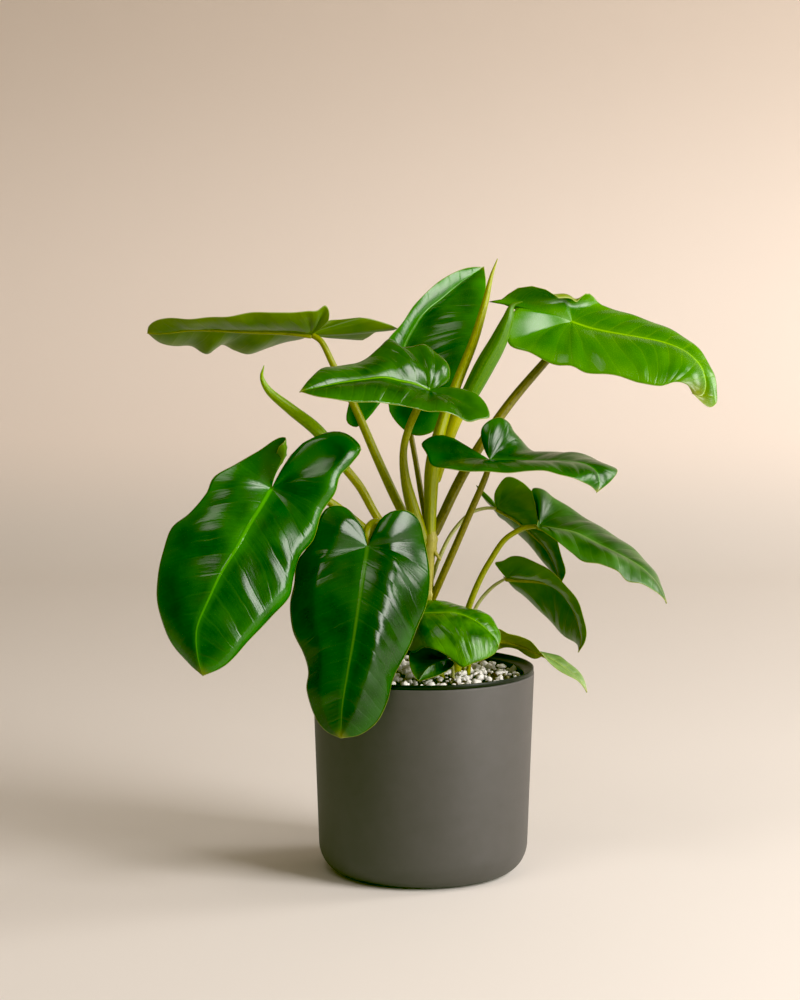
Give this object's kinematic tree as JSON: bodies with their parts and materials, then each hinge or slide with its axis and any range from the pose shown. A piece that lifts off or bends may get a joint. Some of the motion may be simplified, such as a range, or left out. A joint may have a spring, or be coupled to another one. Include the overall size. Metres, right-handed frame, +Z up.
{
  "type": "potted philodendron house plant",
  "caption": "Burle Marx philodendron with glossy heart-shaped leaves on long petioles, growing in a nursery pot inside a matt charcoal cover pot.",
  "frame": {"origin": "middle of the cover pot's flat underside, on the surface that it stands on", "axes": "+Z up along the pot's axis; -Y is the front, which the picture shows; +X to the right as seen from the front"},
  "size_m": [0.4902, 0.2505, 0.5231],
  "materials": {
    "cover_pot_plastic": "matte",
    "nursery_pot_plastic": "satin",
    "soil": "matte",
    "stem": "matte",
    "leaf": "gloss",
    "young_leaf": "gloss",
    "leaf_underside": "satin",
    "petiole": "satin",
    "petiole_brown": "satin"
  },
  "bodies": {
    "root": {"cover_pot": "cover_pot_plastic", "nursery_pot": "nursery_pot_plastic", "soil": "soil", "main_stem": "stem", "spear_leaf": "petiole", "unrolling_leaf": "leaf_underside", "unrolling_petiole": "petiole", "rolled_leaf": "petiole", "rolled_petiole": "petiole", "upper_left_blade": "leaf_underside", "upper_left_petiole": "petiole", "upper_right_blade": "young_leaf", "upper_right_petiole": "petiole_brown", "back_blade": "leaf", "back_petiole": "petiole_brown", "centre_left_blade": "leaf", "centre_left_petiole": "petiole", "left_blade": "leaf", "left_petiole": "petiole", "front_blade": "leaf", "front_petiole": "petiole", "right_blade": "leaf", "right_petiole": "petiole", "lower_right_blade": "leaf", "lower_right_petiole": "petiole", "right_rear_blade": "leaf_underside", "right_rear_petiole": "petiole", "low_right_rear_blade": "leaf_underside", "low_right_rear_petiole": "petiole", "small_front_blade": "young_leaf", "small_front_petiole": "petiole", "low_right_blade": "leaf_underside", "low_right_petiole": "petiole", "low_front_blade": "leaf", "low_front_petiole": "petiole"}
  },
  "joints": []
}
